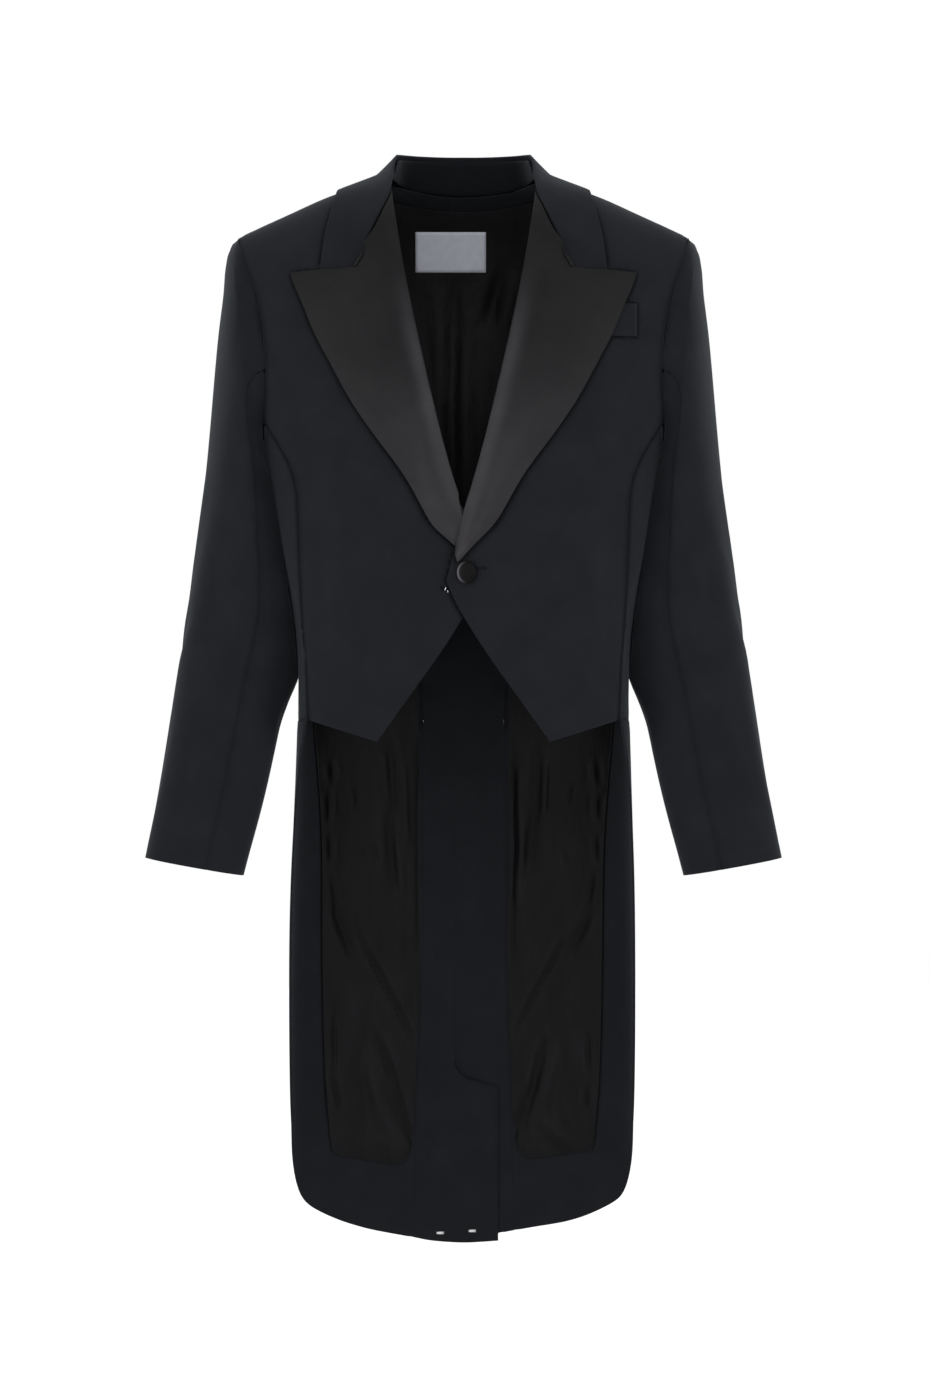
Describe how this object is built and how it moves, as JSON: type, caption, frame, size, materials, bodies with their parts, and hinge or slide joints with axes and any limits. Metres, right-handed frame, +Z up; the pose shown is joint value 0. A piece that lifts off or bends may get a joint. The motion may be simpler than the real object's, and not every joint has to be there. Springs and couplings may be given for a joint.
{
  "type": "tail coat",
  "caption": "Black wool evening tail coat with satin peak lapels, filled out as worn, cropped in front with long tails and a centre vent.",
  "frame": {"origin": "Middle of the neck, level with the back neck seam, where a wearer's shoulders carry the coat.", "axes": "+Z up, the front faces -Y, +X is the wearer's left."},
  "size_m": [0.653, 0.259, 1.1323],
  "materials": {
    "wool": "dark worsted wool, matt, with a faint barathea grain",
    "satin": "ribbed silk satin with a soft sheen",
    "lining": "smooth black lining with a slight sheen",
    "label": "pale grey woven label, bare",
    "metal": "bright plated wire"
  },
  "bodies": {
    "root": {"front_left": "wool", "front_right": "wool", "side_left": "wool", "side_right": "wool", "back_left": "wool", "back_right": "wool", "tail_left": "wool", "tail_right": "wool", "sleeve_top_left": "wool", "sleeve_top_right": "wool", "sleeve_under_left": "wool", "sleeve_under_right": "wool", "collar_fall": "wool", "collar_stand": "wool", "lapel_left": "satin", "lapel_right": "satin", "pocket_welt": "wool", "button": "satin", "front_hook": "metal", "lining_back": "lining", "lining_tail_left": "lining", "lining_tail_right": "lining", "neck_label": "label"}
  },
  "joints": []
}
